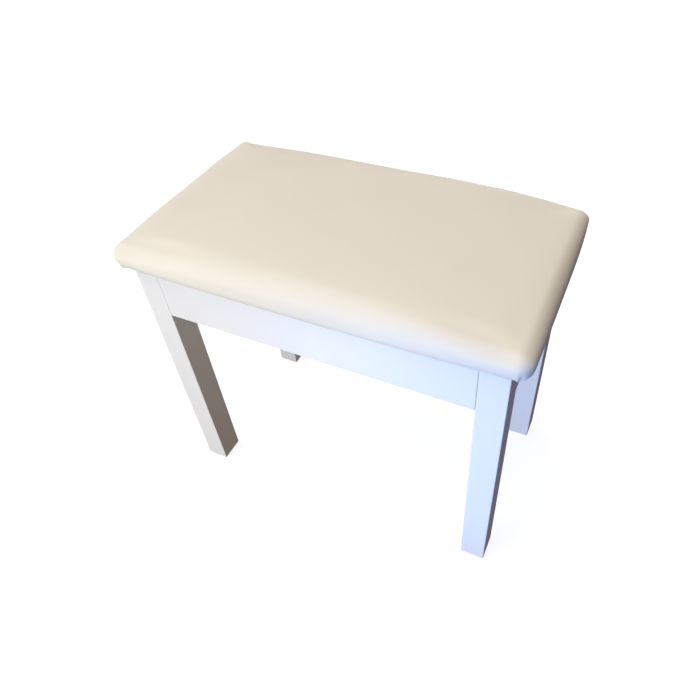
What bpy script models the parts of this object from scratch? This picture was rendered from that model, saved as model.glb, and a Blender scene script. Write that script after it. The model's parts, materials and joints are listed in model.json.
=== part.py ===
"""Piano bench: a shallow music compartment on four straight legs, under a padded lid hinged at the rear.

Metres, +Z up, +X to the player's right, -Y towards the player. The origin is on the floor under the
bench's centre. The bench stands on four nail-in glides. A pair of butt hinges carries the lid on the
rear rail, and a slotted folding stay at each end stops it when it is open.
"""

import math

import bmesh
import bpy
from mathutils import Vector

# Frame
FRAME_WIDTH = 0.540
FRAME_DEPTH = 0.307
FRAME_TOP = 0.440
LEG_X = 0.038
LEG_Y = 0.0415
GLIDE_HEIGHT = 0.004
GLIDE_FOOT_RADIUS = 0.012
GLIDE_LAND_RADIUS = 0.010
GLIDE_SHANK_RADIUS = 0.0021
GLIDE_SHANK_LENGTH = 0.013
RAIL_HEIGHT = 0.072
RAIL_THICK = 0.018
END_RAIL_SETBACK = 0.0015
CLEAT = 0.010
FLOOR_PANEL_THICK = 0.003
WOOD_EDGE = 0.0012

# Lid
LID_HALF_X = 0.2925
LID_HALF_Y = 0.167
LID_GAP = 0.0038
CUSHION_TOP = 0.494
COVER_THICK = 0.0012
COVER_CORNER = 0.022
COVER_TOP_ROUND = 0.022
COVER_BOTTOM_ROUND = 0.014
COVER_OPENING_X = 0.225
COVER_OPENING_Y = 0.118
BOARD_HALF_X = 0.277
BOARD_HALF_Y = 0.1515
BOARD_CORNER = 0.016
BOARD_THICK = 0.009
DUST_SHEET_X = 0.2375
DUST_SHEET_Y = 0.131
DUST_SHEET_THICK = 0.0004

# Corner fixings
PLATE_THICK = 0.002
PLATE_HEIGHT = 0.040
PLATE_FLANGE_END = 0.011
PLATE_FLANGE_LONG = 0.020
PLATE_SETBACK = 0.0064
CHAMFER_DEPTH = 0.0057
BOLT_RADIUS = 0.004
BOLT_HEIGHT = 0.412
BOLT_IN_LEG = 0.034
BOLT_IN_BOX = 0.026
NUT_HUB_RADIUS = 0.007
NUT_HUB_LENGTH = 0.008
NUT_WING_HALF_WIDTH = 0.0045
NUT_WING_HALF_THICK = 0.001
NUT_WING_SPREAD = 0.0085
NUT_WING_LEAN = 0.0055

# Hinges
HINGE_X = 0.150
HINGE_LENGTH = 0.060
HINGE_LEAF = 0.0008
HINGE_KNUCKLE_RADIUS = 0.0016
HINGE_BORE_RADIUS = 0.0011
HINGE_PIN_RADIUS = 0.0008
HINGE_OVERHANG = 0.0021
HINGE_LEAF_FRONT = 0.1370
HINGE_SCREW_Y = 0.1445
HINGE_SCREW_X = 0.020
SCREW_RADIUS = 0.0015
SCREW_HEAD_RADIUS = 0.0028
FRAME_SCREW_LENGTH = 0.013
LID_SCREW_LENGTH = 0.0085

# Folding stays, in the plane across the bench: (y, z)
STAY_FRAME_PIVOT = (0.0610, 0.4127)
STAY_LID_PIVOT = (0.0675, 0.4321)
STAY_LOWER_LENGTH = 0.0529
STAY_LOWER_REST_DEG = 188.0
STAY_LOWER_RATIO = 1.341
STAY_LINK_HALF_WIDTH = 0.0055
STAY_LINK_THICK = 0.002
STAY_PLATE_THICK = 0.0015
STAY_RIVET_RADIUS = 0.002
STAY_HOLE_RADIUS = 0.0023
STAY_SLOT_RADIUS = 0.0029
STAY_HEAD_RADIUS = 0.0045
STAY_HEAD_FILL = 0.75
STAY_TIP = 0.004
STAY_PLATE_HALF_Y = 0.009
STAY_PLATE_HALF_Z = 0.011
STAY_EAR_HALF_Y = 0.006
STAY_EAR_BELOW = 0.0055
STAY_FLANGE_HALF_Y = 0.015
STAY_FLANGE_REACH = 0.015
LID_OPEN_DEG = 75.0

# Bumpers
BUMPER_RADIUS = 0.005
BUMPER_X = 0.215
BUMPER_Y = 0.1445

GAP = 0.0003
ROUND_SIDES = 20
SMALL_SIDES = 14
PAST = 0.002

# Places that follow from the dimensions above
LEG_IN_X = FRAME_WIDTH / 2 - LEG_X
LEG_IN_Y = FRAME_DEPTH / 2 - LEG_Y
RAIL_BOTTOM = FRAME_TOP - RAIL_HEIGHT
RAIL_IN_Y = FRAME_DEPTH / 2 - RAIL_THICK
END_RAIL_OUT_X = FRAME_WIDTH / 2 - END_RAIL_SETBACK
END_RAIL_IN_X = END_RAIL_OUT_X - RAIL_THICK
CLEAT_BOTTOM = RAIL_BOTTOM + 0.0005
FLOOR_PANEL_BOTTOM = CLEAT_BOTTOM + CLEAT + GAP
LID_BOTTOM = FRAME_TOP + LID_GAP
BOARD_BOTTOM = LID_BOTTOM + COVER_THICK + GAP
BOARD_TOP = BOARD_BOTTOM + BOARD_THICK
HINGE_Y = FRAME_DEPTH / 2 + HINGE_OVERHANG
HINGE_Z = FRAME_TOP + LID_GAP / 2
CORNERS = (("front_left", -1, -1), ("front_right", 1, -1), ("rear_left", -1, 1), ("rear_right", 1, 1))
SIDES = (("left", -1), ("right", 1))


def clear_scene():
    """Removes whatever the scene holds."""
    for obj in list(bpy.data.objects):
        bpy.data.objects.remove(obj)


def new_collection(name):
    collection = bpy.data.collections.new(name)
    bpy.context.scene.collection.children.link(collection)
    return collection


def new_material(name, colour, roughness, metallic=0.0):
    """A Principled BSDF in one colour, given as linear red, green and blue."""
    material = bpy.data.materials.new(name)
    material.use_nodes = True
    shader = material.node_tree.nodes["Principled BSDF"]
    shader.inputs["Base Color"].default_value = (*colour, 1.0)
    shader.inputs["Roughness"].default_value = roughness
    shader.inputs["Metallic"].default_value = metallic
    return material


def add_object(name, mesh, collection, material=None):
    obj = bpy.data.objects.new(name, mesh)
    collection.objects.link(obj)
    if material:
        mesh.materials.append(material)
    return obj


def mesh_from(bm, name):
    mesh = bpy.data.meshes.new(name)
    bmesh.ops.recalc_face_normals(bm, faces=bm.faces)
    bm.to_mesh(mesh)
    bm.free()
    return mesh


def add_box(name, low, high, collection, material=None, edge=0.0, segments=1):
    """A box between two corners, its origin at its centre, its edges eased by a Bevel."""
    bm = bmesh.new()
    bmesh.ops.create_cube(bm, size=1.0)
    size = Vector(high) - Vector(low)
    bmesh.ops.scale(bm, vec=size, verts=bm.verts)
    obj = add_object(name, mesh_from(bm, name), collection, material)
    obj.location = (Vector(high) + Vector(low)) / 2
    if edge:
        bevel = obj.modifiers.new("edges", "BEVEL")
        bevel.width = edge
        bevel.segments = segments
    return obj


def add_rod(name, start, end, radius, collection, material=None, sides=ROUND_SIDES, end_radius=None):
    """A cylinder or cone from start to end, its origin halfway and its own Z along it."""
    start = Vector(start)
    end = Vector(end)
    bm = bmesh.new()
    tip = radius if end_radius is None else end_radius
    bmesh.ops.create_cone(
        bm, cap_ends=True, segments=sides, radius1=radius, radius2=tip, depth=(end - start).length
    )
    mesh = mesh_from(bm, name)
    mesh.shade_smooth()
    mesh.set_sharp_from_angle(angle=math.radians(40))
    obj = add_object(name, mesh, collection, material)
    obj.location = (start + end) / 2
    obj.rotation_euler = (end - start).to_track_quat("Z", "Y").to_euler()
    return obj


def add_turned(name, profile, place, collection, material, steps=ROUND_SIDES):
    """A profile of (radius, height) pairs, outer side top to bottom, turned about the vertical."""
    mesh = bpy.data.meshes.new(name)
    edges = [(i, i + 1) for i in range(len(profile) - 1)]
    mesh.from_pydata([(radius, 0.0, height) for radius, height in profile], edges, [])
    obj = add_object(name, mesh, collection, material)
    obj.location = place
    screw = obj.modifiers.new("turn", "SCREW")
    screw.steps = steps
    screw.render_steps = steps
    screw.use_merge_vertices = True
    screw.merge_threshold = 0.00001
    return obj


def add_outline(name, points, low, high, collection, material=None):
    """A flat outline in plan, filled and carried from height low to height high."""
    curve = bpy.data.curves.new(name, "CURVE")
    curve.dimensions = "2D"
    curve.fill_mode = "BOTH"
    curve.extrude = (high - low) / 2
    spline = curve.splines.new("POLY")
    spline.points.add(len(points) - 1)
    for point, (x, y) in zip(spline.points, points):
        point.co = (x, y, 0.0, 1.0)
    spline.use_cyclic_u = True
    drawn = bpy.data.objects.new(name + "_outline", curve)
    bpy.context.scene.collection.objects.link(drawn)
    bpy.context.view_layer.update()
    evaluated = drawn.evaluated_get(bpy.context.evaluated_depsgraph_get())
    mesh = bpy.data.meshes.new_from_object(evaluated)
    bpy.data.objects.remove(drawn)
    bm = bmesh.new()
    bm.from_mesh(mesh)
    bmesh.ops.remove_doubles(bm, verts=bm.verts, dist=0.000001)
    bmesh.ops.recalc_face_normals(bm, faces=bm.faces)
    bm.to_mesh(mesh)
    bm.free()
    obj = add_object(name, mesh, collection, material)
    obj.location.z = (low + high) / 2
    return obj


def add_padded(name, inset, low, high, collection, material=None):
    """The lid's pillow shape, inset all round: a box with round corners, a soft top and a tucked-in foot."""
    bm = bmesh.new()
    bmesh.ops.create_cube(bm, size=1.0)
    size = (2 * (LID_HALF_X - inset), 2 * (LID_HALF_Y - inset), high - low)
    bmesh.ops.scale(bm, vec=size, verts=bm.verts)
    upright = [e for e in bm.edges if abs(e.verts[0].co.z - e.verts[1].co.z) > (high - low) / 2]
    round_edges(bm, upright, COVER_CORNER - inset)
    for side, radius in ((1, COVER_TOP_ROUND - inset), (-1, COVER_BOTTOM_ROUND - inset)):
        rim = [e for e in bm.edges if sum(f.normal.z * side > 0.9 for f in e.link_faces) == 1]
        round_edges(bm, rim, radius)
    mesh = mesh_from(bm, name)
    mesh.shade_smooth()
    obj = add_object(name, mesh, collection, material)
    obj.location.z = (low + high) / 2
    return obj


def round_edges(bm, edges, radius):
    bmesh.ops.bevel(bm, geom=edges, offset=radius, segments=4, profile=0.5, affect="EDGES")
    bm.normal_update()


def combine(obj, other, operation):
    """Adds a Boolean with a helper, which is hidden from the render."""
    other.hide_render = True
    other.display_type = "WIRE"
    boolean = obj.modifiers.new(operation.lower(), "BOOLEAN")
    boolean.operation = operation
    boolean.solver = "EXACT"
    boolean.object = other


def rounded_rectangle(half_x, half_y, radius, steps=5):
    """Points round a rectangle, each corner an arc."""
    points = []
    for quarter, (sx, sy) in enumerate(((1, 1), (-1, 1), (-1, -1), (1, -1))):
        for step in range(steps + 1):
            angle = math.radians(90 * (quarter + step / steps))
            x = sx * (half_x - radius) + radius * math.cos(angle)
            y = sy * (half_y - radius) + radius * math.sin(angle)
            points.append((x, y))
    return points


def strip_outline(path, thickness):
    """The outline of a bent strip whose middle follows the path, with mitred bends."""
    path = [Vector(point) for point in path]
    normals = []
    for start, end in zip(path, path[1:]):
        along = (end - start).normalized()
        normals.append(Vector((-along.y, along.x)))
    offsets = []
    for before, after in zip([normals[0]] + normals, normals + [normals[-1]]):
        mitre = (before + after).normalized()
        offsets.append(mitre * (thickness / 2 / mitre.dot(after)))
    left = [tuple(point + offset) for point, offset in zip(path, offsets)]
    right = [tuple(point - offset) for point, offset in zip(path, offsets)]
    return left + right[::-1]


def screw_places():
    """Each hinge screw's name ending, x and y."""
    places = []
    for side, sx in SIDES:
        for number, offset in ((1, -HINGE_SCREW_X), (2, HINGE_SCREW_X)):
            places.append((f"{side}_{number}", sx * HINGE_X + offset, HINGE_SCREW_Y))
    return places


# Frame pieces


def make_leg(name, sx, sy, parts, cutters, paint):
    """A straight square leg with its inner corner planed off for the hanger bolt."""
    inner = Vector((sx * LEG_IN_X, sy * LEG_IN_Y, GLIDE_HEIGHT + GAP))
    outer = Vector((sx * FRAME_WIDTH / 2, sy * FRAME_DEPTH / 2, FRAME_TOP))
    low = [min(a, b) for a, b in zip(inner, outer)]
    high = [max(a, b) for a, b in zip(inner, outer)]
    leg = add_box(name, low, high, parts, paint, edge=WOOD_EDGE, segments=2)
    outward = Vector((sx, sy, 0.0)).normalized()
    corner = Vector((sx * LEG_IN_X, sy * LEG_IN_Y, BOLT_HEIGHT))
    half = LEG_X / 2
    flat = add_box(name + "_flat", (-half, -half, -RAIL_HEIGHT), (half, half, RAIL_HEIGHT), cutters)
    flat.location = corner + outward * (CHAMFER_DEPTH - half)
    flat.rotation_euler.z = math.radians(45)
    combine(leg, flat, "DIFFERENCE")
    pilot = add_rod(
        name + "_pilot",
        corner - outward * CHAMFER_DEPTH,
        corner + outward * (BOLT_IN_LEG + GAP),
        BOLT_RADIUS + GAP,
        cutters,
    )
    combine(leg, pilot, "DIFFERENCE")
    centre = leg_centre(sx, sy)
    nail_hole = add_rod(
        name + "_nail_hole",
        (*centre, -0.001),
        (*centre, GLIDE_HEIGHT + GLIDE_SHANK_LENGTH + 0.0005),
        GLIDE_SHANK_RADIUS + GAP,
        cutters,
        sides=SMALL_SIDES,
    )
    combine(leg, nail_hole, "DIFFERENCE")


def leg_centre(sx, sy):
    return (sx * (FRAME_WIDTH - LEG_X) / 2, sy * (FRAME_DEPTH - LEG_Y) / 2)


def make_glide(name, sx, sy, parts, plastic):
    """A nail-in glide: a low round foot, flat below, on a shank that goes up into the leg."""
    tip = GLIDE_HEIGHT + GLIDE_SHANK_LENGTH
    profile = (
        (0.0, tip),
        (GLIDE_SHANK_RADIUS * 0.6, tip),
        (GLIDE_SHANK_RADIUS, tip - 0.003),
        (GLIDE_SHANK_RADIUS, GLIDE_HEIGHT),
        (GLIDE_FOOT_RADIUS - 0.0005, GLIDE_HEIGHT),
        (GLIDE_FOOT_RADIUS, GLIDE_HEIGHT - 0.0006),
        (GLIDE_FOOT_RADIUS, GLIDE_HEIGHT * 0.45),
        (GLIDE_LAND_RADIUS, 0.0),
        (0.0, 0.0),
    )
    add_turned(name, profile, (*leg_centre(sx, sy), 0.0), parts, plastic)


def make_rails(parts, cutters, paint):
    """Front and rear rails between the legs, flush with them, and end rails set back a little."""
    half_x = LEG_IN_X - GAP
    for name, sy in (("rail_front", -1), ("rail_rear", 1)):
        y_low, y_high = sorted((sy * RAIL_IN_Y, sy * FRAME_DEPTH / 2))
        rail = add_box(
            name, (-half_x, y_low, RAIL_BOTTOM), (half_x, y_high, FRAME_TOP), parts, paint, edge=WOOD_EDGE / 2
        )
        if sy > 0:
            for ending, x, y in screw_places():
                hole = add_rod(
                    "pilot_rail_" + ending,
                    (x, y, FRAME_TOP - FRAME_SCREW_LENGTH - 0.003),
                    (x, y, FRAME_TOP + PAST),
                    SCREW_RADIUS + GAP,
                    cutters,
                    sides=SMALL_SIDES,
                )
                combine(rail, hole, "DIFFERENCE")
    half_y = LEG_IN_Y - GAP
    for side, sx in SIDES:
        x_low, x_high = sorted((sx * END_RAIL_IN_X, sx * END_RAIL_OUT_X))
        add_box(
            "rail_" + side, (x_low, -half_y, RAIL_BOTTOM), (x_high, half_y, FRAME_TOP), parts, paint,
            edge=WOOD_EDGE / 2,
        )


def make_floor(parts, board, wood):
    """The compartment's floor, notched round the legs, lying on a cleat along each rail."""
    top = CLEAT_BOTTOM + CLEAT
    half_x = LEG_IN_X - GAP
    for name, sy in (("cleat_front", -1), ("cleat_rear", 1)):
        y_low, y_high = sorted((sy * (RAIL_IN_Y - GAP), sy * (RAIL_IN_Y - GAP - CLEAT)))
        add_box(name, (-half_x, y_low, CLEAT_BOTTOM), (half_x, y_high, top), parts, wood)
    half_y = LEG_IN_Y - GAP
    for side, sx in SIDES:
        x_low, x_high = sorted((sx * (END_RAIL_IN_X - GAP), sx * (END_RAIL_IN_X - GAP - CLEAT)))
        add_box("cleat_" + side, (x_low, -half_y, CLEAT_BOTTOM), (x_high, half_y, top), parts, wood)
    far_x = END_RAIL_IN_X - GAP
    far_y = RAIL_IN_Y - GAP
    quarter = ((far_x, half_y), (half_x, half_y), (half_x, far_y))
    points = []
    for sx, sy in ((1, 1), (-1, 1), (-1, -1), (1, -1)):
        corner = [(sx * x, sy * y) for x, y in quarter]
        points += corner if sx * sy > 0 else corner[::-1]
    bottom = FLOOR_PANEL_BOTTOM
    add_outline("compartment_floor", points, bottom, bottom + FLOOR_PANEL_THICK, parts, board)


def make_corner_fixing(corner, sx, sy, parts, cutters, steel):
    """A bent steel plate across the corner, the hanger bolt through it, and its wing nut."""
    outward = Vector((sx, sy, 0.0)).normalized()
    leg_corner = Vector((sx * LEG_IN_X, sy * LEG_IN_Y, BOLT_HEIGHT))
    middle = PLATE_SETBACK + PLATE_THICK / 2
    reach = LEG_IN_X + LEG_IN_Y - middle * math.sqrt(2)
    end_x = END_RAIL_IN_X - GAP - PLATE_THICK / 2
    end_y = RAIL_IN_Y - GAP - PLATE_THICK / 2
    path = (
        (end_x, reach - end_x - PLATE_FLANGE_END),
        (end_x, reach - end_x),
        (reach - end_y, end_y),
        (reach - end_y - PLATE_FLANGE_LONG, end_y),
    )
    outline = strip_outline([(sx * x, sy * y) for x, y in path], PLATE_THICK)
    low = BOLT_HEIGHT - PLATE_HEIGHT / 2
    plate = add_outline("corner_plate_" + corner, outline, low, low + PLATE_HEIGHT, parts, steel)
    hole_end = leg_corner - outward * 3 * PLATE_SETBACK
    hole = add_rod("plate_hole_" + corner, leg_corner, hole_end, BOLT_RADIUS + GAP, cutters)
    combine(plate, hole, "DIFFERENCE")
    bolt_end = leg_corner - outward * BOLT_IN_BOX
    add_rod("hanger_bolt_" + corner, leg_corner + outward * BOLT_IN_LEG, bolt_end, BOLT_RADIUS, parts, steel)
    seat = leg_corner - outward * (PLATE_SETBACK + PLATE_THICK + GAP)
    make_wing_nut("wing_nut_" + corner, seat, outward, parts, cutters, steel)


def make_wing_nut(name, seat, outward, parts, cutters, steel):
    """A tapered hub with two flat wings that stand out to its sides and lean inwards."""
    end = seat - outward * NUT_HUB_LENGTH
    nut = add_rod(name, seat, end, NUT_HUB_RADIUS, parts, steel, end_radius=NUT_HUB_RADIUS * 0.8)
    across = Vector((-outward.y, outward.x, 0.0))
    for number, side in enumerate((-1, 1)):
        root = seat - outward * NUT_HUB_LENGTH * 0.5 + across * side * NUT_HUB_RADIUS * 0.75
        tip = root + across * side * NUT_WING_SPREAD - outward * NUT_WING_LEAN
        half = Vector((NUT_WING_HALF_WIDTH, NUT_WING_HALF_THICK, (tip - root).length / 2))
        wing = add_box(f"{name}_wing_{number}", -half, half, cutters)
        wing.location = (root + tip) / 2
        wing.rotation_euler = (tip - root).to_track_quat("Z", "X").to_euler()
        combine(nut, wing, "UNION")
    bore = add_rod(name + "_bore", seat + outward * PAST, end - outward * PAST, BOLT_RADIUS + GAP, cutters)
    combine(nut, bore, "DIFFERENCE")


# Hinges


def make_hinge(side, sx, parts, cutters, steel):
    """Two leaves that share three knuckles on one pin: the outer two are the fixed leaf's."""
    third = HINGE_LENGTH / 3
    centre = sx * HINGE_X
    spans = {
        "fixed": ((centre - 1.5 * third, centre - 0.5 * third), (centre + 0.5 * third, centre + 1.5 * third)),
        "moving": ((centre - 0.5 * third + GAP, centre + 0.5 * third - GAP),),
    }
    heights = {
        "fixed": (FRAME_TOP + GAP, FRAME_TOP + GAP + HINGE_LEAF),
        "moving": (LID_BOTTOM - GAP - HINGE_LEAF, LID_BOTTOM - GAP),
    }
    plate_back = HINGE_Y - HINGE_KNUCKLE_RADIUS - GAP
    for kind in ("fixed", "moving"):
        low, high = heights[kind]
        name = f"hinge_leaf_{kind}_{side}"
        leaf_low = (centre - HINGE_LENGTH / 2, HINGE_LEAF_FRONT, low)
        leaf_high = (centre + HINGE_LENGTH / 2, plate_back, high)
        leaf = add_box(name, leaf_low, leaf_high, parts, steel)
        for number, (start, end) in enumerate(spans[kind]):
            tab = add_box(
                f"{name}_tab_{number}", (start, plate_back - 0.001, low), (end, HINGE_Y - 0.001, high), cutters
            )
            combine(leaf, tab, "UNION")
            knuckle = add_rod(
                f"{name}_knuckle_{number}",
                (start, HINGE_Y, HINGE_Z),
                (end, HINGE_Y, HINGE_Z),
                HINGE_KNUCKLE_RADIUS,
                cutters,
                sides=16,
            )
            combine(leaf, knuckle, "UNION")
        bore = add_rod(
            name + "_bore",
            (centre - HINGE_LENGTH, HINGE_Y, HINGE_Z),
            (centre + HINGE_LENGTH, HINGE_Y, HINGE_Z),
            HINGE_BORE_RADIUS,
            cutters,
            sides=16,
        )
        combine(leaf, bore, "DIFFERENCE")
        make_leaf_screws(kind, side, leaf, low, high, parts, cutters, steel)
    pin_half = HINGE_LENGTH / 2 - 0.0002
    pin_start = (centre - pin_half, HINGE_Y, HINGE_Z)
    pin_end = (centre + pin_half, HINGE_Y, HINGE_Z)
    add_rod("hinge_pin_" + side, pin_start, pin_end, HINGE_PIN_RADIUS, parts, steel, sides=12)


def make_leaf_screws(kind, side, leaf, low, high, parts, cutters, steel):
    """Countersunk screws, their heads flush in the leaf, and the holes they stand in."""
    for ending, x, y in screw_places():
        if not ending.startswith(side):
            continue
        face, back = (high, low) if kind == "fixed" else (low, high)
        inward = -1 if kind == "fixed" else 1
        length = FRAME_SCREW_LENGTH if kind == "fixed" else LID_SCREW_LENGTH
        sink = add_rod(
            f"{kind}_sink_{ending}",
            (x, y, face - inward * 0.0002),
            (x, y, back + inward * 0.0002),
            SCREW_HEAD_RADIUS + GAP,
            cutters,
            sides=SMALL_SIDES,
            end_radius=SCREW_RADIUS + GAP,
        )
        combine(leaf, sink, "DIFFERENCE")
        screw = add_rod(
            f"hinge_screw_{kind}_{ending}",
            (x, y, face),
            (x, y, back),
            SCREW_HEAD_RADIUS,
            parts,
            steel,
            sides=SMALL_SIDES,
            end_radius=SCREW_RADIUS,
        )
        shank = add_rod(
            f"{kind}_shank_{ending}",
            (x, y, face + inward * 0.0003),
            (x, y, back + inward * length),
            SCREW_RADIUS * 0.98,
            cutters,
            sides=SMALL_SIDES,
        )
        combine(screw, shank, "UNION")


# Lid


def make_lid(parts, cutters, board_wood, foam, vinyl, cloth):
    """A board, foam over its edges, the vinyl drawn over both and under the board, and a dust sheet."""
    corners = rounded_rectangle(BOARD_HALF_X, BOARD_HALF_Y, BOARD_CORNER)
    board = add_outline("lid_board", corners, BOARD_BOTTOM, BOARD_TOP, parts, board_wood)
    outer = add_padded("vinyl_cover", 0.0, LID_BOTTOM, CUSHION_TOP, parts, vinyl)
    hollow_low = LID_BOTTOM + COVER_THICK
    hollow = add_padded("cover_hollow", COVER_THICK, hollow_low, CUSHION_TOP - COVER_THICK, cutters)
    combine(outer, hollow, "DIFFERENCE")
    opening = add_box(
        "cover_opening",
        (-COVER_OPENING_X, -COVER_OPENING_Y, LID_BOTTOM - PAST),
        (COVER_OPENING_X, COVER_OPENING_Y, hollow_low + PAST),
        cutters,
    )
    combine(outer, opening, "DIFFERENCE")
    inset = COVER_THICK + GAP
    pad = add_padded("foam_pad", inset, LID_BOTTOM + inset, CUSHION_TOP - inset, parts, foam)
    pocket_corners = rounded_rectangle(BOARD_HALF_X + GAP, BOARD_HALF_Y + GAP, BOARD_CORNER + GAP)
    pocket = add_outline("foam_pocket", pocket_corners, LID_BOTTOM, BOARD_TOP + GAP, cutters)
    combine(pad, pocket, "DIFFERENCE")
    for ending, x, y in screw_places():
        hole = add_rod(
            "pilot_lid_" + ending,
            (x, y, LID_BOTTOM - PAST),
            (x, y, BOARD_TOP - 0.0015),
            SCREW_RADIUS + GAP,
            cutters,
            sides=SMALL_SIDES,
        )
        combine(outer, hole, "DIFFERENCE")
        combine(board, hole, "DIFFERENCE")
    sheet_top = LID_BOTTOM - GAP
    sheet_low = (-DUST_SHEET_X, -DUST_SHEET_Y, sheet_top - DUST_SHEET_THICK)
    add_box("dust_sheet", sheet_low, (DUST_SHEET_X, DUST_SHEET_Y, sheet_top), parts, cloth)


def make_bumpers(parts, rubber):
    """Soft discs on the front rail that take the lid's weight."""
    for side, sx in SIDES:
        low = (sx * BUMPER_X, -BUMPER_Y, FRAME_TOP + GAP)
        high = (sx * BUMPER_X, -BUMPER_Y, LID_BOTTOM - GAP)
        add_rod("bumper_" + side, low, high, BUMPER_RADIUS, parts, rubber)


# Folding stays


def turn(point, centre, angle):
    """A (y, z) point turned about a centre, from +Y towards +Z."""
    dy = point[0] - centre[0]
    dz = point[1] - centre[1]
    y = centre[0] + dy * math.cos(angle) - dz * math.sin(angle)
    z = centre[1] + dy * math.sin(angle) + dz * math.cos(angle)
    return (y, z)


def stay_rivet_rest():
    """Where the middle rivet is when the lid is shut."""
    start = (STAY_FRAME_PIVOT[0] + STAY_LOWER_LENGTH, STAY_FRAME_PIVOT[1])
    return turn(start, STAY_FRAME_PIVOT, math.radians(STAY_LOWER_REST_DEG))


def stay_reach():
    """The middle rivet's distance from the lid's pivot when the lid is shut and when it is open."""
    rivet = stay_rivet_rest()
    opened = math.radians(LID_OPEN_DEG)
    rivet_open = turn(rivet, STAY_FRAME_PIVOT, -STAY_LOWER_RATIO * opened)
    pivot_open = turn(STAY_LID_PIVOT, (HINGE_Y, HINGE_Z), -opened)
    return math.dist(rivet, STAY_LID_PIVOT), math.dist(rivet_open, pivot_open)


def stay_layers(sx):
    """The x spans of the stay's layers, from the end rail inwards."""
    spans = {}
    x = END_RAIL_IN_X
    layers = (
        ("plate", STAY_PLATE_THICK),
        ("lower", STAY_LINK_THICK),
        ("upper", STAY_LINK_THICK),
        ("ear", STAY_PLATE_THICK),
    )
    for name, thick in layers:
        x -= GAP
        spans[name] = (sx * x, sx * (x - thick))
        x -= thick
    return spans


def add_link(name, start, end, span, collection, material=None, half_width=STAY_LINK_HALF_WIDTH):
    """A flat bar with round ends between two (y, z) points, made as an outline and turned upright."""
    length = math.dist(start, end)
    points = []
    for centre, base in ((length, -90), (0.0, 90)):
        for step in range(9):
            angle = math.radians(base + 180 * step / 8)
            points.append((centre + half_width * math.cos(angle), half_width * math.sin(angle)))
    low, high = sorted(span)
    bar = add_outline(name, points, 0.0, high - low, collection, material)
    direction = math.atan2(end[1] - start[1], end[0] - start[0])
    bar.rotation_euler = (math.radians(90), 0.0, math.radians(90))
    bar.rotation_euler.rotate_axis("Z", direction)
    bar.location = ((low + high) / 2, start[0], start[1])
    return bar


def add_rivet(obj, name, point, start, head, cutters):
    """Joins a rivet to a piece: a shank from x = start to the far side of the head's span, and the head."""
    end = (sum(head) / 2, *point)
    shank = add_rod(name + "_shank", (start, *point), end, STAY_RIVET_RADIUS, cutters, sides=SMALL_SIDES)
    combine(obj, shank, "UNION")
    disc = add_rod(name + "_head", (head[0], *point), (head[1], *point), STAY_HEAD_RADIUS, cutters)
    combine(obj, disc, "UNION")


def make_stay(side, sx, parts, cutters, steel):
    """A folding stay: an end rail plate, a lower link, a slotted upper link and a bracket on the lid."""
    spans = stay_layers(sx)
    rivet = stay_rivet_rest()
    shut, opened = stay_reach()
    y, z = STAY_FRAME_PIVOT
    x_low, x_high = sorted(spans["plate"])
    plate_low = (x_low, y - STAY_PLATE_HALF_Y, z - STAY_PLATE_HALF_Z)
    plate_high = (x_high, y + STAY_PLATE_HALF_Y, z + STAY_PLATE_HALF_Z)
    plate = add_box("stay_plate_" + side, plate_low, plate_high, parts, steel, edge=0.0004)
    root = sum(spans["plate"]) / 2
    add_rivet(plate, "rail_rivet_" + side, STAY_FRAME_PIVOT, root, head_span(spans["upper"]), cutters)

    lower = add_link("stay_link_lower_" + side, STAY_FRAME_PIVOT, rivet, spans["lower"], parts, steel)
    bore_link(lower, "lower_bore_" + side, STAY_FRAME_PIVOT, sx, cutters)
    add_rivet(lower, "middle_rivet_" + side, rivet, sum(spans["lower"]) / 2, spans["ear"], cutters)

    along = Vector((rivet[0] - STAY_LID_PIVOT[0], rivet[1] - STAY_LID_PIVOT[1])).normalized()
    pivot = Vector(STAY_LID_PIVOT)
    tip = pivot + along * (opened + STAY_TIP)
    upper = add_link("stay_link_upper_" + side, STAY_LID_PIVOT, tuple(tip), spans["upper"], parts, steel)
    bore_link(upper, "upper_bore_" + side, STAY_LID_PIVOT, sx, cutters)
    slot_span = (sx * (END_RAIL_IN_X + 0.01), sx * (END_RAIL_IN_X - 0.03))
    slot_start = tuple(pivot + along * shut)
    slot_end = tuple(pivot + along * opened)
    slot_name = "upper_slot_" + side
    slot = add_link(slot_name, slot_start, slot_end, slot_span, cutters, half_width=STAY_SLOT_RADIUS)
    combine(upper, slot, "DIFFERENCE")

    y, z = STAY_LID_PIVOT
    x_low, x_high = sorted(spans["ear"])
    top = LID_BOTTOM - GAP
    ear_low = (x_low, y - STAY_EAR_HALF_Y, z - STAY_EAR_BELOW)
    bracket = add_box("stay_bracket_" + side, ear_low, (x_high, y + STAY_EAR_HALF_Y, top), parts, steel)
    x_low, x_high = sorted((spans["ear"][1], spans["ear"][1] + sx * STAY_FLANGE_REACH))
    flange_low = (x_low, y - STAY_FLANGE_HALF_Y, top - STAY_PLATE_THICK)
    flange_high = (x_high, y + STAY_FLANGE_HALF_Y, top)
    flange = add_box("bracket_flange_" + side, flange_low, flange_high, cutters)
    combine(bracket, flange, "UNION")
    root = sum(spans["ear"]) / 2
    add_rivet(bracket, "lid_rivet_" + side, STAY_LID_PIVOT, root, head_span(spans["lower"]), cutters)


def head_span(span):
    """A rivet head fills the inner part of the layer it stands in, leaving its far side clear."""
    return (span[0], span[0] + (span[1] - span[0]) * STAY_HEAD_FILL)


def bore_link(link, name, point, sx, cutters):
    """A round hole through a link for the rivet it turns on."""
    outer = (sx * (END_RAIL_IN_X + 0.01), *point)
    inner = (sx * (END_RAIL_IN_X - 0.03), *point)
    hole = add_rod(name, outer, inner, STAY_HOLE_RADIUS, cutters)
    combine(link, hole, "DIFFERENCE")


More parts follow.
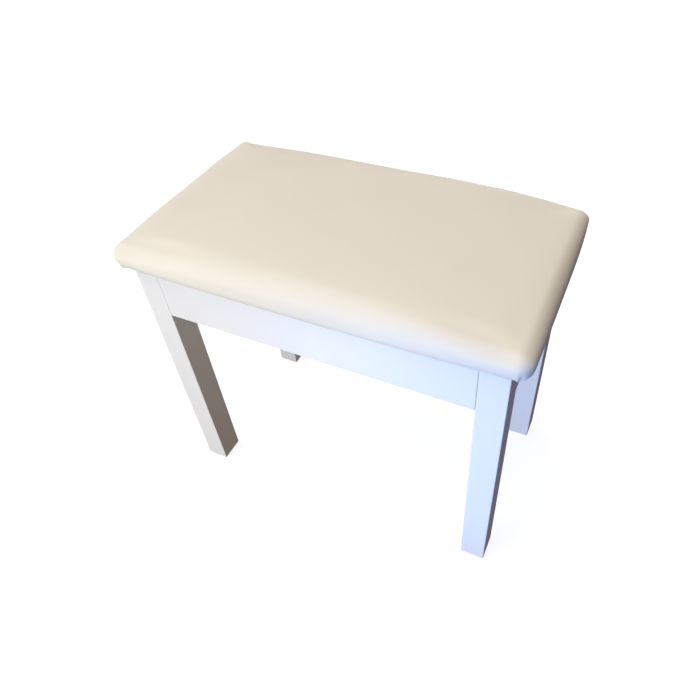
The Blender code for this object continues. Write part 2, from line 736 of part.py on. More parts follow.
def main():
    clear_scene()
    parts = new_collection("piano_bench")
    cutters = new_collection("cutters")
    cutters.hide_render = True

    paint = new_material("white_satin_paint", (0.80, 0.83, 0.88), 0.45)
    raw_wood = new_material("poplar", (0.55, 0.40, 0.25), 0.7)
    panel_wood = new_material("white_faced_hardboard", (0.72, 0.70, 0.66), 0.6)
    board_wood = new_material("plywood", (0.52, 0.37, 0.22), 0.7)
    foam = new_material("foam", (0.78, 0.70, 0.45), 0.9)
    vinyl = new_material("cream_vinyl", (0.77, 0.71, 0.60), 0.5)
    cloth = new_material("dust_cloth", (0.03, 0.03, 0.03), 0.95)
    zinc = new_material("zinc_plated_steel", (0.62, 0.63, 0.64), 0.35, 1.0)
    nylon = new_material("white_nylon", (0.75, 0.75, 0.72), 0.5)
    rubber = new_material("clear_grey_rubber", (0.45, 0.45, 0.45), 0.7)

    for corner, sx, sy in CORNERS:
        make_leg("leg_" + corner, sx, sy, parts, cutters, paint)
        make_glide("glide_" + corner, sx, sy, parts, nylon)
        make_corner_fixing(corner, sx, sy, parts, cutters, zinc)
    make_rails(parts, cutters, paint)
    make_floor(parts, panel_wood, raw_wood)
    make_bumpers(parts, rubber)
    for side, sx in SIDES:
        make_hinge(side, sx, parts, cutters, zinc)
        make_stay(side, sx, parts, cutters, zinc)
    make_lid(parts, cutters, board_wood, foam, vinyl, cloth)


main()
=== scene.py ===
"""Piano bench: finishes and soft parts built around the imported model.

The file is laid out as an add-on and run as a script. Each operator makes one piece or one group of like
pieces in the frame's own metres, so nothing is fitted afterwards.
"""

import json
import math

import bmesh
import bpy
import numpy as np
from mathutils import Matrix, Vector


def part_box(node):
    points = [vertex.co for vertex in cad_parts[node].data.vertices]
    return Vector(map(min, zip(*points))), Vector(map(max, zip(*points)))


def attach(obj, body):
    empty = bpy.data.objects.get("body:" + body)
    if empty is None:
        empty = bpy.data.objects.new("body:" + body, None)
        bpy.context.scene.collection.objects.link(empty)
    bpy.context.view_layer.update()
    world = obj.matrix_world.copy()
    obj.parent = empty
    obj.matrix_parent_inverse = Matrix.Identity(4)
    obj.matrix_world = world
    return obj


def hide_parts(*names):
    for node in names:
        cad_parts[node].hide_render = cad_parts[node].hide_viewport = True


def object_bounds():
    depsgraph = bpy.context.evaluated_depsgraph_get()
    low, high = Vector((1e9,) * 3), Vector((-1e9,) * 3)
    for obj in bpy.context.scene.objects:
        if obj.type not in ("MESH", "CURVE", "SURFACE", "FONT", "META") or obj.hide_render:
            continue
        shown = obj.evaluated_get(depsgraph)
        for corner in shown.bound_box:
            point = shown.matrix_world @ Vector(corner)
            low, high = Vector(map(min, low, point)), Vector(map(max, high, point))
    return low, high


bl_info = {
    "name": "Piano Bench",
    "version": (1, 0, 0),
    "blender": (4, 5, 0),
    "location": "3D View > Sidebar > Bench",
    "description": "Upholsters and finishes a lift-top piano bench",
    "category": "Add Mesh",
}

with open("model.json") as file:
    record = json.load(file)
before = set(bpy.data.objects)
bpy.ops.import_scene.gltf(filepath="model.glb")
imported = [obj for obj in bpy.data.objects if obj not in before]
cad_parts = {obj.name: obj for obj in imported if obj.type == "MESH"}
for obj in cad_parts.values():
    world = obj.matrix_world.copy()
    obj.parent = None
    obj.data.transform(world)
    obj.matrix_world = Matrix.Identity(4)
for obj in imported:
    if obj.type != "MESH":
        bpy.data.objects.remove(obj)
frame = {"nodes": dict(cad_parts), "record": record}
CAD_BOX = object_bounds()
COVER_LOW, COVER_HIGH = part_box("vinyl_cover")
BOARD_LOW, BOARD_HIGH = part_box("lid_board")
SHEET_LOW, SHEET_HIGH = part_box("dust_sheet")
FLOOR_HEIGHT = CAD_BOX[0][2]
CORNERS = ("front_left", "front_right", "rear_left", "rear_right")
SIDES = ("left", "right")
GAP = 0.0003


def linear(hex_colour, alpha=1.0):
    """An sRGB hex colour as linear red, green, blue and alpha."""
    channels = [int(hex_colour[i : i + 2], 16) / 255 for i in (0, 2, 4)]
    return (*[c / 12.92 if c <= 0.04045 else ((c + 0.055) / 1.055) ** 2.4 for c in channels], alpha)


# Settings


class BenchCushionSettings(bpy.types.PropertyGroup):
    """The pad's shape."""

    edge_round: bpy.props.FloatProperty(
        name="Edge radius",
        description="Radius of the pad's rolled edges and corners",
        default=0.0192,
        unit="LENGTH",
    )
    crown: bpy.props.FloatProperty(
        name="Crown",
        description="Height of the middle above the edges before it is filled",
        default=0.0085,
        unit="LENGTH",
    )
    corner_drop: bpy.props.FloatVectorProperty(
        name="Corner drop",
        description="How far each corner is drawn down: front left, front right, rear left, rear right",
        size=4,
        default=(0.005, 0.007, 0.004, 0.014),
        unit="LENGTH",
    )
    corner_draw: bpy.props.FloatVectorProperty(
        name="Corner draw",
        description="How far each corner is drawn in on plan, in the same order",
        size=4,
        default=(0.0, 0.001, 0.001, 0.006),
        unit="LENGTH",
    )
    pull_in: bpy.props.FloatProperty(
        name="Pull in",
        description="How far the middle of each side is drawn in",
        default=0.0004,
        unit="LENGTH",
    )
    fill_pressure: bpy.props.FloatProperty(
        name="Fill pressure",
        description="Pressure of the foam against the cover",
        default=1.2,
        min=0.0,
    )
    most_swell: bpy.props.FloatProperty(
        name="Most swell",
        description="Farthest that the cover may move as it fills",
        default=0.003,
        unit="LENGTH",
    )
    pleat_depth: bpy.props.FloatProperty(
        name="Pleat depth",
        description="Depth of the fold tucked under each corner",
        default=0.0022,
        unit="LENGTH",
    )


class BenchFinishSettings(bpy.types.PropertyGroup):
    """Colours of the finishes, linear."""

    leather: bpy.props.FloatVectorProperty(
        name="Faux leather",
        description="Cream cover of the cushion",
        size=4,
        subtype="COLOR",
        default=linear("EEE5D2"),
    )
    paint: bpy.props.FloatVectorProperty(
        name="Paint",
        description="Satin white on the legs and rails",
        size=4,
        subtype="COLOR",
        default=linear("F4F1EA"),
    )
    zinc: bpy.props.FloatVectorProperty(
        name="Zinc plate",
        description="Fixings, hinges and stays",
        size=4,
        subtype="COLOR",
        default=linear("C9CBCD"),
    )
    cloth: bpy.props.FloatVectorProperty(
        name="Dust cloth",
        description="Cloth under the lid",
        size=4,
        subtype="COLOR",
        default=linear("26262A"),
    )


# Nodes and materials

COLOUR_MIX = {"data_type": "RGBA"}
ADD = {"operation": "ADD"}
MULTIPLY = {"operation": "MULTIPLY"}


def add_node(tree, kind, settings=None, **inputs):
    """Adds a node, sets its properties, then sets or links each input. An input's name uses _ for a space,
    and i with a number is an input by its place."""
    node = tree.nodes.new(kind)
    for name, value in (settings or {}).items():
        setattr(node, name, value)
    for name, value in inputs.items():
        by_place = name[0] == "i" and name[1:].isdigit()
        socket = node.inputs[int(name[1:]) if by_place else name.replace("_", " ")]
        if isinstance(value, bpy.types.NodeSocket):
            tree.links.new(value, socket)
        else:
            socket.default_value = value
    return node


def new_material(name, roughness, metallic=0.0):
    """A material with its Principled shader, its tree and the object's own coordinates in metres."""
    material = bpy.data.materials.new(name)
    material.use_nodes = True
    tree = material.node_tree
    shader = tree.nodes["Principled BSDF"]
    shader.inputs["Roughness"].default_value = roughness
    shader.inputs["Metallic"].default_value = metallic
    place = add_node(tree, "ShaderNodeTexCoord").outputs["Object"]
    return material, tree, shader, place


def shade(colour, amount):
    """The colour with its red, green and blue multiplied."""
    return (*[min(1.0, c * amount) for c in colour[:3]], 1.0)


def faux_leather(colour):
    """PVC faux leather, calendered and embossed with a fine pebble grain: soft sheen, even cream."""
    material, tree, shader, place = new_material("cream_faux_leather", 0.5)
    # Grain pebbles are about 0.9 mm across on the real cloth; drawn at 1.3 mm so that they show.
    edges = {"feature": "DISTANCE_TO_EDGE"}
    pebbles = add_node(tree, "ShaderNodeTexVoronoi", edges, Vector=place, Scale=1 / 0.0013, Randomness=1.0)
    creases = add_node(tree, "ShaderNodeTexNoise", Vector=place, Scale=1 / 0.004, Detail=4.0, Roughness=0.6)
    grain = add_node(tree, "ShaderNodeMapRange", Value=pebbles.outputs["Distance"], To_Min=0.0, To_Max=1.6)
    height = add_node(tree, "ShaderNodeMath", ADD, i0=grain.outputs["Result"], i1=creases.outputs["Fac"])
    bump = add_node(tree, "ShaderNodeBump", Strength=0.35, Distance=0.00025, Height=height.outputs["Value"])
    tree.links.new(bump.outputs["Normal"], shader.inputs["Normal"])
    # Slow drift in the dye over a hand's width.
    drift = add_node(tree, "ShaderNodeTexNoise", Vector=place, Scale=1 / 0.12, Detail=2.0, Roughness=0.5)
    tones = {"i6": shade(colour, 0.965), "i7": shade(colour, 1.02)}
    tint = add_node(tree, "ShaderNodeMix", COLOUR_MIX, Factor=drift.outputs["Fac"], **tones)
    tree.links.new(tint.outputs[2], shader.inputs["Base Color"])
    # Rougher where the creases have been rubbed.
    rough = add_node(tree, "ShaderNodeMapRange", Value=creases.outputs["Fac"], To_Min=0.44, To_Max=0.56)
    tree.links.new(rough.outputs["Result"], shader.inputs["Roughness"])
    shader.inputs["Specular IOR Level"].default_value = 0.4
    shader.inputs["Sheen Weight"].default_value = 0.05
    shader.inputs["Sheen Roughness"].default_value = 0.5
    return material


def satin_paint(colour, along):
    """Satin lacquer sprayed over sanded timber: faint orange peel and a ghost of the grain beneath."""
    material, tree, shader, place = new_material("satin_white_lacquer_" + along, 0.42)
    # Timber grain about 3 mm wide and 170 mm long, running along the piece.
    stretch = [6.0 if axis == along else 300.0 for axis in "xyz"]
    drawn = add_node(tree, "ShaderNodeMapping", Vector=place, Scale=stretch).outputs["Vector"]
    grain = add_node(tree, "ShaderNodeTexNoise", Vector=drawn, Scale=1.0, Detail=3.0, Roughness=0.55)
    # Orange peel of a sprayed coat, 1.5 mm from crest to crest.
    peel = add_node(tree, "ShaderNodeTexNoise", Vector=place, Scale=1 / 0.0015, Detail=1.0)
    peel_height = add_node(tree, "ShaderNodeMath", MULTIPLY, i0=peel.outputs["Fac"], i1=0.35).outputs["Value"]
    height = add_node(tree, "ShaderNodeMath", ADD, i0=peel_height, i1=grain.outputs["Fac"])
    bump = add_node(tree, "ShaderNodeBump", Strength=0.25, Distance=0.0003, Height=height.outputs["Value"])
    tree.links.new(bump.outputs["Normal"], shader.inputs["Normal"])
    # Slow change in the coat's thickness over 90 mm.
    cloud = add_node(tree, "ShaderNodeTexNoise", Vector=place, Scale=1 / 0.09, Detail=3.0, Roughness=0.6)
    tones = {"i6": shade(colour, 0.965), "i7": shade(colour, 1.01)}
    tint = add_node(tree, "ShaderNodeMix", COLOUR_MIX, Factor=cloud.outputs["Fac"], **tones)
    tree.links.new(tint.outputs[2], shader.inputs["Base Color"])
    rough = add_node(tree, "ShaderNodeMapRange", Value=grain.outputs["Fac"], To_Min=0.36, To_Max=0.50)
    tree.links.new(rough.outputs["Result"], shader.inputs["Roughness"])
    shader.inputs["Coat Weight"].default_value = 0.15
    shader.inputs["Coat Roughness"].default_value = 0.25
    return material


def zinc_plate(colour):
    """Bright zinc plate on pressed steel: grey metal with a faint spangle and fine drawing lines."""
    material, tree, shader, place = new_material("zinc_plated_steel", 0.32, 1.0)
    # Spangle patches about 2 mm across; drawing lines 0.4 mm apart.
    spangle = add_node(tree, "ShaderNodeTexVoronoi", Vector=place, Scale=1 / 0.002, Randomness=1.0)
    tones = {"i6": shade(colour, 0.86), "i7": shade(colour, 1.05)}
    tint = add_node(tree, "ShaderNodeMix", COLOUR_MIX, Factor=spangle.outputs["Distance"], **tones)
    tree.links.new(tint.outputs[2], shader.inputs["Base Color"])
    lines = add_node(tree, "ShaderNodeMapping", Vector=place, Scale=(2500.0, 150.0, 150.0))
    drawn = add_node(tree, "ShaderNodeTexNoise", Vector=lines.outputs["Vector"], Scale=1.0, Detail=2.0)
    rough = add_node(tree, "ShaderNodeMapRange", Value=drawn.outputs["Fac"], To_Min=0.24, To_Max=0.44)
    tree.links.new(rough.outputs["Result"], shader.inputs["Roughness"])
    bump = add_node(tree, "ShaderNodeBump", Strength=0.08, Distance=0.0001, Height=drawn.outputs["Fac"])
    tree.links.new(bump.outputs["Normal"], shader.inputs["Normal"])
    return material


def plated(context):
    """The one zinc finish that every fixing shares."""
    return bpy.data.materials.get("zinc_plated_steel") or zinc_plate(context.scene.bench_finish.zinc)


def raw_timber(name, dark, light, ring_width):
    """Planed, unfinished timber: growth rings run along the longest side, dry and matt."""
    material, tree, shader, place = new_material(name, 0.75)
    # Rings are 250 mm long, and wander over about 110 mm.
    bend = add_node(tree, "ShaderNodeTexNoise", Vector=place, Scale=9.0, Detail=2.0).outputs["Color"]
    grain = add_node(tree, "ShaderNodeMapping", Vector=place, Scale=(4.0, 1 / ring_width, 1 / ring_width))
    push = add_node(tree, "ShaderNodeVectorMath", ADD, i0=grain.outputs["Vector"], i1=bend).outputs["Vector"]
    rings = add_node(tree, "ShaderNodeTexNoise", Vector=push, Scale=1.0, Detail=5.0, Roughness=0.6)
    tones = {"i6": linear(dark), "i7": linear(light)}
    tint = add_node(tree, "ShaderNodeMix", COLOUR_MIX, Factor=rings.outputs["Fac"], **tones)
    tree.links.new(tint.outputs[2], shader.inputs["Base Color"])
    bump = add_node(tree, "ShaderNodeBump", Strength=0.2, Distance=0.0002, Height=rings.outputs["Fac"])
    tree.links.new(bump.outputs["Normal"], shader.inputs["Normal"])
    return material


def hardboard():
    """White-faced hardboard: a smooth painted face with the pressed fibre just showing."""
    material, tree, shader, place = new_material("white_faced_hardboard", 0.55)
    # Fibre flecks about 1.2 mm long.
    fibre = add_node(tree, "ShaderNodeTexNoise", Vector=place, Scale=1 / 0.0012, Detail=4.0, Roughness=0.7)
    tones = {"i6": linear("D2CFC6"), "i7": linear("E6E3DB")}
    tint = add_node(tree, "ShaderNodeMix", COLOUR_MIX, Factor=fibre.outputs["Fac"], **tones)
    tree.links.new(tint.outputs[2], shader.inputs["Base Color"])
    bump = add_node(tree, "ShaderNodeBump", Strength=0.15, Distance=0.0002, Height=fibre.outputs["Fac"])
    tree.links.new(bump.outputs["Normal"], shader.inputs["Normal"])
    return material


def moulded(name, colour, roughness):
    """Moulded plastic or rubber: even colour with the fine spark texture of the tool."""
    material, tree, shader, place = new_material(name, roughness)
    # Spark texture about 0.3 mm, drawn at 0.5 mm.
    spark = add_node(tree, "ShaderNodeTexNoise", Vector=place, Scale=1 / 0.0005, Detail=2.0)
    tones = {"i6": shade(linear(colour), 0.93), "i7": linear(colour)}
    tint = add_node(tree, "ShaderNodeMix", COLOUR_MIX, Factor=spark.outputs["Fac"], **tones)
    tree.links.new(tint.outputs[2], shader.inputs["Base Color"])
    bump = add_node(tree, "ShaderNodeBump", Strength=0.15, Distance=0.0001, Height=spark.outputs["Fac"])
    tree.links.new(bump.outputs["Normal"], shader.inputs["Normal"])
    return material


def open_foam():
    """Cut polyurethane foam: pale yellow with open cells."""
    material, tree, shader, place = new_material("polyurethane_foam", 0.95)
    # Cells about 0.8 mm across, drawn at 1.2 mm.
    cells = add_node(tree, "ShaderNodeTexVoronoi", Vector=place, Scale=1 / 0.0012, Randomness=1.0)
    tones = {"i6": linear("B99D5A"), "i7": linear("E5D59C")}
    # The tint is darker towards each cell's middle, where the bump sinks: painted shade in the open cells.
    tint = add_node(tree, "ShaderNodeMix", COLOUR_MIX, Factor=cells.outputs["Distance"], **tones)
    tree.links.new(tint.outputs[2], shader.inputs["Base Color"])
    bump = add_node(tree, "ShaderNodeBump", Strength=0.6, Distance=0.0006, Height=cells.outputs["Distance"])
    tree.links.new(bump.outputs["Normal"], shader.inputs["Normal"])
    return material


def dust_cloth(colour):
    """Spun-bonded polypropylene: thin black felted cloth, pressed with a grid of bond points."""
    material, tree, shader, place = new_material("spun_bonded_cloth", 0.9)
    # Bond points 1.6 mm apart on the real cloth, drawn at 2.4 mm.
    pitch = 2 * math.pi / 0.0024
    parts = add_node(tree, "ShaderNodeSeparateXYZ", Vector=place)
    waves = []
    for axis in ("X", "Y"):
        angle = add_node(tree, "ShaderNodeMath", MULTIPLY, i0=parts.outputs[axis], i1=pitch).outputs[0]
        waves.append(add_node(tree, "ShaderNodeMath", {"operation": "SINE"}, i0=angle).outputs[0])
    dots = add_node(tree, "ShaderNodeMath", MULTIPLY, i0=waves[0], i1=waves[1])
    # Fibres about 1.1 mm from one to the next.
    fibre = add_node(tree, "ShaderNodeTexNoise", Vector=place, Scale=1 / 0.0011, Detail=3.0)
    height = add_node(tree, "ShaderNodeMath", ADD, i0=dots.outputs[0], i1=fibre.outputs["Fac"])
    tones = {"i6": shade(colour, 0.6), "i7": shade(colour, 1.5)}
    tint = add_node(tree, "ShaderNodeMix", COLOUR_MIX, Factor=fibre.outputs["Fac"], **tones)
    tree.links.new(tint.outputs[2], shader.inputs["Base Color"])
    bump = add_node(tree, "ShaderNodeBump", Strength=0.5, Distance=0.0002, Height=height.outputs[0])
    tree.links.new(bump.outputs["Normal"], shader.inputs["Normal"])
    shader.inputs["Sheen Weight"].default_value = 0.2
    return material


# Surfaces


def lattice_box(lines):
    """The surface of a box cut by lines along X, Y and Z: points in the lines' units, and outward quads.

    Points carry their place in the full lattice as an index, so faces that meet share their edge points."""
    counts = [len(line) for line in lines]
    strides = (counts[1] * counts[2], counts[2], 1)
    quads = []
    for axis in range(3):
        u, v = [a for a in range(3) if a != axis]
        grid_u, grid_v = np.meshgrid(np.arange(counts[u] - 1), np.arange(counts[v] - 1), indexing="ij")
        for end in (0, counts[axis] - 1):
            first = (grid_u * strides[u] + grid_v * strides[v] + end * strides[axis]).ravel()
            across, along = first + strides[u], first + strides[v]
            loop = np.stack([first, across, across + strides[v], along], 1)
            # u, v, axis is a right-handed set only when the axis is X or Z.
            outward = (end > 0) == (axis != 1)
            quads.append(loop if outward else loop[:, ::-1])
    quads = np.concatenate(quads)
    used, quads = np.unique(quads, return_inverse=True)
    quads = quads.reshape(-1, 4)
    spots = np.stack(np.unravel_index(used, counts), 1)
    points = np.stack([np.asarray(lines[axis])[spots[:, axis]] for axis in range(3)], 1)
    return points, quads


def eased_lines(half, middle_step, end_step, end_length):
    """Positions from -half to half: wide steps in the middle, fine steps along end_length at each end."""
    fine = np.linspace(half - end_length, half, max(2, round(end_length / end_step)) + 1)
    inner = half - end_length
    wide = np.linspace(-inner, inner, max(2, round(2 * inner / middle_step)) + 1)
    return np.concatenate([-fine[::-1], wide[1:-1], fine])


def rounded_box(points, half, radius):
    """Each point of a box is drawn to its nearest point on the box shrunk by the radius, then put back out
    by the radius along that line, which rounds every edge and corner."""
    core = np.clip(points, -(half - radius), half - radius)
    away = points - core
    return core + radius * away / np.maximum(np.linalg.norm(away, axis=1, keepdims=True), 1e-9)


def mesh_object(name, points, faces, material, smooth=True):
    """An object at the origin whose mesh holds the points and faces."""
    mesh = bpy.data.meshes.new(name)
    mesh.from_pydata(points.tolist(), [], faces.tolist())
    mesh.validate()
    mesh.polygons.foreach_set("use_smooth", np.full(len(mesh.polygons), smooth))
    mesh.materials.append(material)
    mesh.update()
    obj = bpy.data.objects.new(name, mesh)
    bpy.context.scene.collection.objects.link(obj)
    return obj


def vertex_array(mesh):
    """The mesh's points, one to a row."""
    values = np.empty(len(mesh.vertices) * 3)
    mesh.vertices.foreach_get("co", values)
    return values.reshape(-1, 3)


def set_vertices(mesh, points):
    """Puts the points back into the mesh."""
    mesh.vertices.foreach_set("co", points.ravel())
    mesh.update()


def evaluated_mesh(obj):
    """The object's mesh with its modifiers applied."""
    graph = bpy.context.evaluated_depsgraph_get()
    return bpy.data.meshes.new_from_object(obj.evaluated_get(graph), depsgraph=graph)


def smooth_step(values, start, end):
    """0 at start, 1 at end, with a smooth S between."""
    t = np.clip((values - start) / (end - start), 0, 1)
    return t * t * (3 - 2 * t)


def vertex_normals(mesh):
    """The outward direction at each of the mesh's points."""
    values = np.empty(len(mesh.vertices) * 3)
    mesh.vertex_normals.foreach_get("vector", values)
    return values.reshape(-1, 3)


def tube_faces(rings, sides):
    """Quads between rings of the same number of sides."""
    ring = np.arange(rings - 1)[:, None] * sides
    here = np.arange(sides)
    there = (here + 1) % sides
    return np.stack([ring + here, ring + there, ring + sides + there, ring + sides + here], 2).reshape(-1, 4)


def grid_faces(rows, columns):
    """Quads of a rows by columns grid of points."""
    first = (np.arange(rows - 1)[:, None] * columns + np.arange(columns - 1)).ravel()
    return np.stack([first, first + 1, first + columns + 1, first + columns], 1)


def close_ends(obj):
    """Fills open rings, then turns every face outwards."""
    work = bmesh.new()
    work.from_mesh(obj.data)
    bmesh.ops.holes_fill(work, edges=work.edges, sides=0)
    bmesh.ops.recalc_face_normals(work, faces=work.faces)
    work.to_mesh(obj.data)
    work.free()


def node_points(name):
    """A node's own points."""
    return vertex_array(frame["nodes"][name].data)


# Cushion

START_PROUD = 0.0014
EDGE_BELOW_TOP = 0.0068
CROWN_POWER = 2.4
CORNER_POWER = 3
SIDE_STEP = 0.0035
TOP_STEP = 0.009
CORNER_STEP = 0.0035
CORNER_LENGTH = 0.045
STAPLED_HEIGHT = 0.0006
SIM_FRAMES = 20
EVENING_PASSES = 30
COVER_THICK = 0.0016
PLEAT_START = 0.003
PLEAT_SLANT = 0.25
PLEAT_WIDTH = 0.0024
PLEAT_FULL = 0.006
PLEAT_END = 0.024
LIP_PLACE = 1.9
LIP_SHARE = 0.45
GATHER_DEPTH = 0.00045
GATHER_PITCH = 0.009
GATHER_REACH = 0.014


def pad_start(settings):
    """The unfilled pad: a rounded box, its top raised by a crown, one less a power of the distance across
    times one less a power of the distance along. Each corner is lowered and drawn in by the product of the
    cubes of both distances, and the middle of each side is drawn in by a parabola along it."""
    low = np.array(COVER_LOW)
    high = np.array(COVER_HIGH)
    half = (high - low) / 2 + np.array([START_PROUD, START_PROUD, 0.0])
    edge_height = 2 * half[2] - EDGE_BELOW_TOP
    lines = [
        eased_lines(half[0], TOP_STEP, CORNER_STEP, CORNER_LENGTH),
        eased_lines(half[1], TOP_STEP, CORNER_STEP, CORNER_LENGTH),
        np.linspace(-edge_height / 2, edge_height / 2, round(edge_height / SIDE_STEP) + 1),
    ]
    points, quads = lattice_box(lines)
    body = np.array([half[0], half[1], edge_height / 2])
    points = rounded_box(points, body, settings.edge_round)
    along_x = np.clip(np.abs(points[:, 0]) / half[0], 0, 1)
    along_y = np.clip(np.abs(points[:, 1]) / half[1], 0, 1)
    upper = smooth_step(points[:, 2], -edge_height * 0.1, edge_height / 2)
    right = (1 + np.sign(points[:, 0])) / 2
    rear = (1 + np.sign(points[:, 1])) / 2
    corner = np.rint(right + 2 * rear).astype(int)
    near_corner = along_x**CORNER_POWER * along_y**CORNER_POWER
    points[:, 2] += upper * settings.crown * (1 - along_x**CROWN_POWER) * (1 - along_y**CROWN_POWER)
    points[:, 2] -= upper * np.array(settings.corner_drop)[corner] * near_corner
    draw = np.array(settings.corner_draw)[corner] * near_corner
    points[:, :2] -= np.sign(points[:, :2]) * draw[:, None]
    points[:, 0] *= 1 - settings.pull_in / half[0] * (1 - along_y**2) * along_x**4
    points[:, 1] *= 1 - settings.pull_in / half[1] * (1 - along_x**2) * along_y**4
    points[:, 2] += low[2] + edge_height / 2
    return points, quads


def evened(mesh, values, passes):
    """Each point's value is averaged with its neighbours', again and again."""
    edges = np.empty(len(mesh.edges) * 2, np.int64)
    mesh.edges.foreach_get("vertices", edges)
    a, b = edges.reshape(-1, 2).T
    count = np.bincount(np.concatenate([a, b]), minlength=len(values))[:, None]
    for _ in range(passes):
        total = np.zeros_like(values)
        np.add.at(total, a, values[b])
        np.add.at(total, b, values[a])
        values = (values + total / count) / 2
    return values


def fill_pad(obj, settings):
    """Fills the cover by cloth simulation: pressure inside, the part stapled under the board held fast.
    The movement is evened out, because the foam's own stiffness lets no small wrinkle form, and it is
    capped by a hyperbolic tangent."""
    start = vertex_array(obj.data)
    held = obj.vertex_groups.new(name="stapled")
    held.add(np.flatnonzero(start[:, 2] < COVER_LOW[2] + STAPLED_HEIGHT).tolist(), 1.0, "REPLACE")
    cloth = obj.modifiers.new("fill", "CLOTH")
    cloth.settings.quality = 6
    cloth.settings.mass = 0.4
    cloth.settings.tension_stiffness = 60
    cloth.settings.compression_stiffness = 60
    cloth.settings.shear_stiffness = 30
    cloth.settings.bending_stiffness = 5.0
    cloth.settings.use_pressure = True
    cloth.settings.uniform_pressure_force = settings.fill_pressure
    cloth.settings.vertex_group_mass = held.name
    cloth.settings.effector_weights.gravity = 0.0
    cloth.collision_settings.use_collision = False
    cloth.point_cache.frame_start = 1
    cloth.point_cache.frame_end = SIM_FRAMES
    for step in range(1, SIM_FRAMES + 1):
        bpy.context.scene.frame_set(step)
    filled = vertex_array(evaluated_mesh(obj))
    obj.modifiers.remove(cloth)
    obj.vertex_groups.remove(held)
    bpy.context.scene.frame_set(1)
    move = evened(obj.data, filled - start, EVENING_PASSES)
    distance = np.linalg.norm(move, axis=1, keepdims=True)
    allowed = settings.most_swell * np.tanh(distance / settings.most_swell)
    points = start + move * allowed / np.maximum(distance, 1e-9)
    points[:, 2] = np.maximum(points[:, 2], COVER_LOW[2])
    set_vertices(obj.data, points)


def corner_run(points, radius):
    """Distance round the outline from each corner's diagonal: positive towards the long sides."""
    half_x = COVER_HIGH[0] - radius
    half_y = COVER_HIGH[1] - radius
    dx = np.abs(points[:, 0]) - half_x
    dy = np.abs(points[:, 1]) - half_y
    quarter = radius * math.pi / 4
    on_arc = radius * (np.arctan2(np.maximum(dy, 1e-6), np.maximum(dx, 1e-6)) - math.pi / 4)
    return np.where(dx < 0, quarter - dx, np.where(dy < 0, -quarter + dy, on_arc))


def tuck_pleats(obj, settings):
    """One folded pleat under each corner: across it the cover dips by one Gaussian and lifts again as a lip
    by a smaller one, and it fades out part way up the side. Small gathers beside it are a fading cosine."""
    points = vertex_array(obj.data)
    normals = vertex_normals(obj.data)
    run = corner_run(points, settings.edge_round)
    height = points[:, 2] - COVER_LOW[2]
    across = (run - PLEAT_START - PLEAT_SLANT * height) / PLEAT_WIDTH
    fade = (1 - smooth_step(height, PLEAT_FULL, PLEAT_END)) * smooth_step(height, -0.001, 0.002)
    groove = -np.exp(-(across**2)) + LIP_SHARE * np.exp(-((across - LIP_PLACE) ** 2))
    gathers = np.cos(run * 2 * math.pi / GATHER_PITCH) * np.exp(-((run / GATHER_REACH) ** 2))
    push = fade * (settings.pleat_depth * groove + GATHER_DEPTH * gathers)
    points += normals * push[:, None]
    points[:, 2] = np.maximum(points[:, 2], COVER_LOW[2])
    set_vertices(obj.data, points)


class BENCH_OT_cushion(bpy.types.Operator):
    """Makes the padded cover, fills it and tucks its corners"""

    bl_idname = "bench.cushion"
    bl_label = "Cushion cover"

    def execute(self, context):
        settings = context.scene.bench_cushion
        points, quads = pad_start(settings)
        cover = mesh_object("cushion_cover", points, quads, faux_leather(context.scene.bench_finish.leather))
        fill_pad(cover, settings)
        finer = cover.modifiers.new("finer", "SUBSURF")
        finer.levels = 1
        finer.render_levels = 1
        old = cover.data
        cover.data = evaluated_mesh(cover)
        cover.modifiers.clear()
        bpy.data.meshes.remove(old)
        tuck_pleats(cover, settings)
        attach(cover, "lid")
        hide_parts("vinyl_cover")
        return {"FINISHED"}


class BENCH_OT_foam(bpy.types.Operator):
    """Makes the foam inside the cover, the same shape drawn in by the cover's thickness"""

    bl_idname = "bench.foam"
    bl_label = "Foam pad"

    def execute(self, context):
        cover = bpy.data.objects["cushion_cover"]
        points = vertex_array(cover.data) - vertex_normals(cover.data) * COVER_THICK
        points[:, 2] = np.maximum(points[:, 2], BOARD_HIGH[2] + GAP)
        quads = np.empty(len(cover.data.polygons) * 4, np.int64)
        cover.data.polygons.foreach_get("vertices", quads)
        foam = mesh_object("foam_block", points, quads.reshape(-1, 4), open_foam())
        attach(foam, "lid")
        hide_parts("foam_pad")
        return {"FINISHED"}


# Dust sheet and staples

HEM = 0.012
HEM_LIFT = 0.00013
SHEET_STEP = 0.010
SHEET_THICK = 0.0001
SHEET_SAG = 0.0012
PUCKER = 0.00025
STAPLE_PITCH = 0.040
STAPLE_CROWN = 0.010
STAPLE_LEG = 0.0016
STAPLE_BEND = 0.0006
STAPLE_WIRE = (0.0012, 0.0005)
STAPLE_FROM_END = 0.02


def turned_hem(half, step):
    """Positions across a sheet with its edges turned back: place from the middle, and how far each point is
    folded back, from 0 on the sheet to 1 on the hem."""
    across = eased_lines(half, step, 0.004, HEM)
    hem = np.linspace(0, HEM, 4)[1:]
    place = np.concatenate([(-half + hem)[::-1], across, half - hem])
    folded = np.concatenate([np.ones(3), np.zeros(len(across)), np.ones(3)])
    return place, folded


